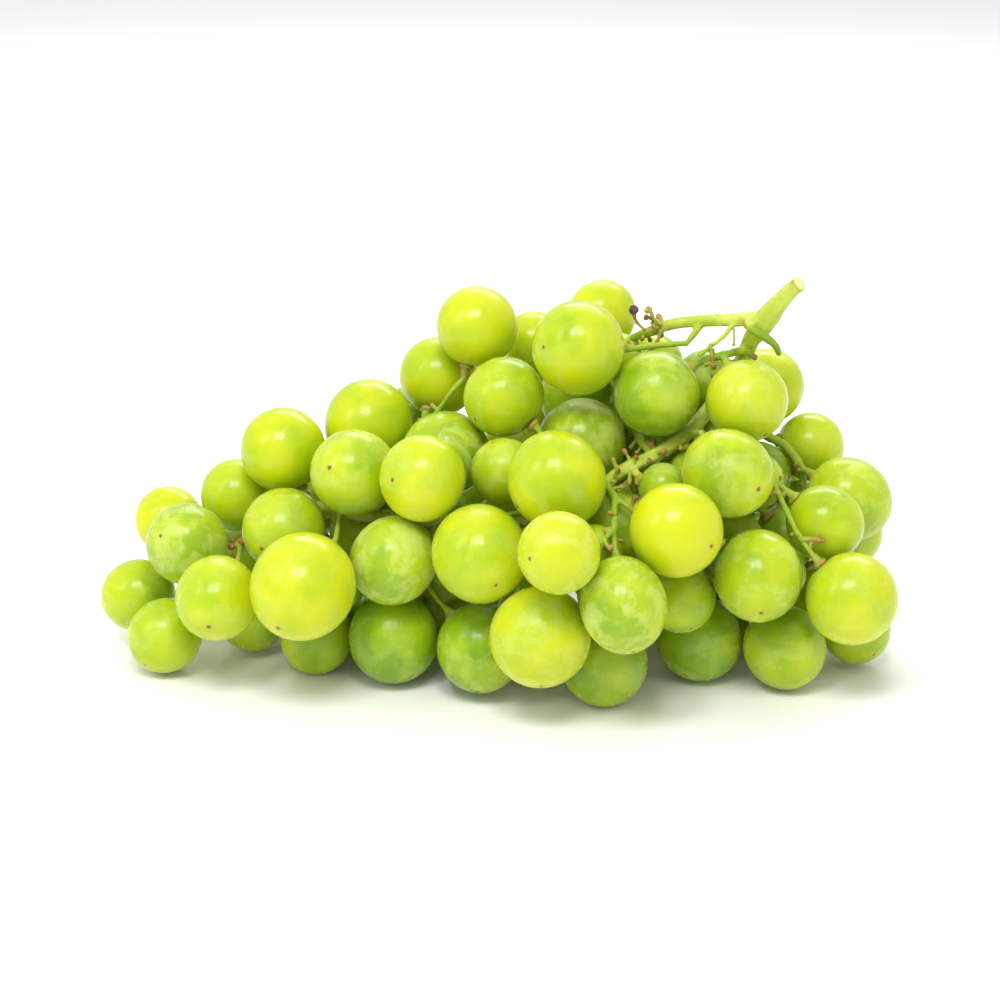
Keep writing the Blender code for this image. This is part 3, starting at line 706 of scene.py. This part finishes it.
def stalk_skin():
    """Yellow-green bark, darker on two arms, browned at dry joints and in specks, pale where it was cut."""
    material, tree, shader = new_material("stalk_skin")
    place = add_node(tree, "ShaderNodeTexCoord").outputs["Object"]
    broad = noise(tree, place, 55.0, 3.0, 0.55, 0.4)
    middle = noise(tree, place, 300.0, 4.0, 0.6, 0.3)
    fine = noise(tree, place, 1400.0, 4.0, 0.65)
    bark = blend(tree, ramp(tree, broad, 0.35, 0.60), (0.400, 0.520, 0.025), (0.640, 0.690, 0.130))
    # thin stems are set a darker, more vivid green: partly their own colour, partly painted shade down among
    # the berries
    bark = blend(tree, ramp(tree, read(tree, "thin"), 0.0, 1.0, 0.0, 0.75), bark, (0.270, 0.420, 0.015))
    bark = blend(tree, ramp(tree, middle, 0.35, 0.65, 0.0, 0.35), bark, (0.290, 0.400, 0.020))
    bark = blend(tree, maths(tree, "MULTIPLY", read(tree, "dark"), 0.85), bark, (0.200, 0.330, 0.012))
    browned = maths(tree, "ADD", broad, maths(tree, "MULTIPLY", middle, 0.5))
    browned = ramp(tree, browned, 0.86, 1.0, 0.0, 0.7)
    bark = blend(tree, browned, bark, (0.400, 0.270, 0.080))
    dry = maths(tree, "ADD", read(tree, "dried"), ramp(tree, middle, 0.3, 0.7, -0.25, 0.25))
    bark = blend(tree, ramp(tree, dry, 0.25, 0.85, 0.0, 0.9), bark, (0.460, 0.270, 0.065))
    bark = blend(tree, ramp(tree, dry, 0.75, 1.15, 0.0, 0.8), bark, (0.230, 0.100, 0.030))
    cells = add_node(tree, "ShaderNodeTexVoronoi", Scale=900.0)
    tree.links.new(place, cells.inputs["Vector"])
    wart = ramp(tree, cells.outputs["Distance"], 0.10, 0.26, 1.0, 0.0)
    picked = add_node(tree, "ShaderNodeSeparateColor")
    tree.links.new(cells.outputs["Color"], picked.inputs["Color"])
    wart = maths(tree, "MULTIPLY", wart, ramp(tree, picked.outputs["Green"], 0.70, 0.78))
    bark = blend(tree, maths(tree, "MULTIPLY", wart, 0.6), bark, (0.230, 0.130, 0.055))
    cut = ramp(tree, read(tree, "near_cut"), 0.35, 0.75, 1.0, 0.0)
    bark = blend(tree, cut, bark, (0.740, 0.740, 0.300))
    tree.links.new(bark, shader.inputs["Base Color"])
    tree.links.new(ramp(tree, fine, 0.3, 0.7, 0.42, 0.62), shader.inputs["Roughness"])
    height = maths(tree, "ADD", middle, maths(tree, "MULTIPLY", wart, 0.6))
    height = maths(tree, "ADD", height, maths(tree, "MULTIPLY", fine, 0.4))
    bump = add_node(tree, "ShaderNodeBump", Strength=0.6, Distance=0.0003)
    tree.links.new(height, bump.inputs["Height"])
    tree.links.new(bump.outputs["Normal"], shader.inputs["Normal"])
    shader.inputs["Subsurface Weight"].default_value = 0.25
    shader.inputs["Subsurface Radius"].default_value = (1.0, 0.9, 0.3)
    shader.inputs["Subsurface Scale"].default_value = 0.0015
    shader.inputs["Specular IOR Level"].default_value = 0.35
    return material


stalk_material = stalk_skin()
add_piece("grape_stalk", stalk_mesh, stalk_material, "stalk_green", "stalk")


# ---- Berry collars: the warty ring where each short stem spreads onto its berry and holds it.


def collar_surface(foot, way, seed, columns=16):
    """Rows of points of a collar: a lathe profile from inside the stem's end out to a rim and onto the skin.

    The radius varies around it by two cosines with random starts. way points from the berry to the stem.
    """
    draw = np.random.default_rng(seed)
    out = np.array((0.0, 0.9, 1.35, 1.75, 1.85, 1.5, 0.9, 0.0))
    along = np.array((0.9, 0.8, 0.45, 0.05, -0.35, -0.75, -0.95, -1.0))
    side = np.cross(way, [0.8, 0.3, 0.5])
    side = side / np.linalg.norm(side)
    other = np.cross(way, side)
    phi = np.linspace(0, 2 * math.pi, columns, endpoint=False)
    lobes = 1 + 0.10 * np.cos(3 * phi + draw.uniform(0, 6)) + 0.07 * np.cos(5 * phi + draw.uniform(0, 6))
    ring = np.cos(phi)[:, None] * side + np.sin(phi)[:, None] * other
    radius = out[:, None] * lobes
    return foot + along[:, None, None] * way + radius[..., None] * ring[None]


# a berry whose stem ends farther than this from its skin, in millimetres, has no collar
collar_reach = 1.6
collars = []
for number, (centre, half_width, half_length, stem_way, foot) in enumerate(berry_facts):
    if np.linalg.norm(foot - centre) <= max(half_width, half_length) + collar_reach:
        collars.append(collar_surface(foot, stem_way, 900 + number))
collar_looks = {"dried": 0.62, "dark": 0.0, "near_cut": uncut, "thin": 0.6}
collar_mesh = grids_mesh("berry_collars", collars, collar_looks)
add_piece("berry_collars", collar_mesh, stalk_material, "stalk_green")


# ---- Spurs and twigs: the stubs left where flowers dropped without setting a berry, each a short stem with
# a dry brown knob, and the thin dead twigs by the fork. They are part of the stalk's own wood.


def bent_stem(places, halves, seed, columns=8):
    """Rows of points around a line of places: a ring of a half width at each, and a point at each end.

    The rings stand square to the line's local direction, and their radius varies by about a tenth from point
    to point.
    """
    draw = np.random.default_rng(seed)
    places = np.array(places, float)
    halves = np.array(halves, float)
    ways = np.gradient(places, axis=0)
    ways /= np.linalg.norm(ways, axis=1)[:, None]
    side = np.cross(ways, draw.normal(size=3))
    side /= np.linalg.norm(side, axis=1)[:, None]
    other = np.cross(ways, side)
    phi = np.linspace(0, 2 * math.pi, columns, endpoint=False)
    radius = halves[:, None] * (1 + 0.10 * draw.normal(size=(len(places), columns)))
    rings = np.cos(phi)[None, :, None] * side[:, None] + np.sin(phi)[None, :, None] * other[:, None]
    rings = places[:, None] + radius[..., None] * rings
    start = np.broadcast_to(places[0] - ways[0] * halves[0] * 0.5, (1, columns, 3))
    end = np.broadcast_to(places[-1] + ways[-1] * halves[-1] * 0.6, (1, columns, 3))
    return np.concatenate([start, rings, end])


def fine_line(points, count):
    """A smooth line through given points: their cubic Hermite curve, evenly stepped."""
    points = np.array(points, float)
    slope = np.gradient(points, axis=0)
    at = np.linspace(0, len(points) - 1, count)
    left = np.minimum(at.astype(int), len(points) - 2)
    f = (at - left)[:, None]
    return (
        (2 * f**3 - 3 * f**2 + 1) * points[left] + (f**3 - 2 * f**2 + f) * slope[left]
        + (3 * f**2 - 2 * f**3) * points[left + 1] + (f**3 - f**2) * slope[left + 1]
    )


def room_to_berries(points):
    """Distance from each point to the nearest berry's skin."""
    gaps = [np.linalg.norm(points - fact[0], axis=-1) - max(fact[1], fact[2]) for fact in berry_facts]
    return np.min(gaps, axis=0)


# dead twigs by the fork and its arms: a line of points and the twig's half width in millimetres
dead_twigs = (
    (((43, 14, 86), (41, 14, 87.5), (39, 14, 88)), 0.5),
    (((43, 14, 84.5), (42, 13, 81.5), (40, 12, 79)), 0.45),
    (((42, 14, 86), (40.5, 13, 89), (39.5, 13, 91)), 0.35),
    (((39, 14, 84.5), (37, 14, 86.5), (36, 13, 89)), 0.4),
    (((61, 5, 87.5), (61, 4, 85), (61, 4, 83.5)), 0.3),
    (((55, 3.5, 84), (55.5, 3, 80.5), (56, 3, 77.5)), 0.4),
)
# how thick a twig and a spur are along their length, as shares of their half width
twig_swells = np.array([1.3, 1.0, 0.9, 1.0, 1.25, 0.95, 0.9, 1.3, 1.6])
spur_swells = np.array([1.7, 1.4, 1.1, 1.0, 1.1, 1.45, 1.35])
draw = np.random.default_rng(77)
spur_rows = []
spur_dried = []
for number, (line, half) in enumerate(dead_twigs):
    rows = bent_stem(fine_line(line, len(twig_swells)), half * twig_swells, 1300 + number)
    spur_rows.append(rows)
    spur_dried.append(np.clip(np.linspace(0.55, 1.0, len(rows)) + draw.uniform(-0.2, 0.1), 0.2, 1.0))

# spurs grow by the dry joints and in the right and the middle cluster, seldom elsewhere, none on the upper
# arm, none close over the floor, and none where a berry is held
spur_count = 170
spur_tries = 6000
spur_spacing = 1.9
tip_clearance = 0.9
foot_clearance = 2.2
order = draw.permutation(count)
far_up = (moved[order, 0] > 44) & (moved[order, 2] > 82)
luck = draw.random(count)
right_cluster = (moved[order, 0] > 62) & (moved[order, 2] > 36) & (moved[order, 2] < 68)
middle_cluster = (moved[order, 0] > 24) & (moved[order, 0] < 42) & (moved[order, 2] > 32)
likely = (dried[order] > 0.12) | (luck < 0.10) | ((right_cluster | middle_cluster) & (luck < 0.5))
order = order[(near_foot[order] > foot_clearance) & ~far_up & likely & (moved[order, 2] > 12)]
chosen = []
for point in order[:spur_tries]:
    base = moved[point]
    way = skin_normals[point] + draw.normal(size=3) * 0.35
    way /= np.linalg.norm(way)
    length = draw.uniform(1.2, 3.2)
    tip = base + way * length
    if chosen and np.linalg.norm(np.array(chosen) - base, axis=1).min() < spur_spacing:
        continue
    if room_to_berries(tip[None])[0] < tip_clearance:
        continue
    if np.linalg.norm(moved[::7] - tip, axis=1).min() < tip_clearance:
        continue
    chosen.append(base)
    bend = draw.normal(size=3) * 0.25 * length
    steps = np.linspace(-0.6, length, len(spur_swells))
    line = base + steps[:, None] * way + (steps[:, None] / length) ** 2 * bend
    half = draw.uniform(0.36, 0.62)
    rows = bent_stem(line, half * spur_swells, 1400 + len(chosen))
    spur_rows.append(rows)
    spur_dried.append(np.clip(np.linspace(-0.2, 1.2, len(rows)) + draw.uniform(-0.3, 0.3), 0, 1.1))
    if len(chosen) == spur_count:
        break
spur_values = []
for rows, dried_rows in zip(spur_rows, spur_dried):
    spur_values.append(flat_rows(np.broadcast_to(dried_rows[:, None], rows.shape[:2])))
spur_looks = {"dried": np.concatenate(spur_values), "dark": 0.25, "near_cut": uncut, "thin": 0.6}
spur_mesh = grids_mesh("stalk_spurs", spur_rows, spur_looks)
add_piece("stalk_spurs", spur_mesh, stalk_material, "stalk_green")


# ---- Dried berry: one berry by the fork that never swelled, shrivelled to a purple-brown bead on its twig.

bead_theta = np.linspace(0, math.pi, 25)[:, None]
bead_phi = np.linspace(0, 2 * math.pi, 36, endpoint=False)[None]
bead_ways = np.stack(
    [
        np.sin(bead_theta) * np.cos(bead_phi),
        -np.sin(bead_theta) * np.sin(bead_phi),
        -np.cos(bead_theta) * np.ones_like(bead_phi),
    ],
    axis=-1,
)
# soft noise on a ball of 1.3 mm draws it in along folds
bead_middle = np.array((36.0, 13.0, 90.2))
bead_folds = smooth_value(bead_ways.reshape(-1, 3), 3.0, 61).reshape(bead_ways.shape[:2])
bead_points = bead_middle + bead_ways * (1.3 - 0.35 * np.abs(bead_folds))[..., None]
bead_mesh = grid_mesh("dried_berry", bead_points, {"folds": bead_folds})
bead_material, bead_tree, bead_shader = new_material("dried_skin")
bead_fold = ramp(bead_tree, read(bead_tree, "folds"), -0.5, 0.5)
bead_colour = blend(bead_tree, bead_fold, (0.20, 0.10, 0.09), (0.07, 0.03, 0.04))
bead_tree.links.new(bead_colour, bead_shader.inputs["Base Color"])
bead_shader.inputs["Roughness"].default_value = 0.6
add_piece("dried_berry", bead_mesh, bead_material, "stalk_green")
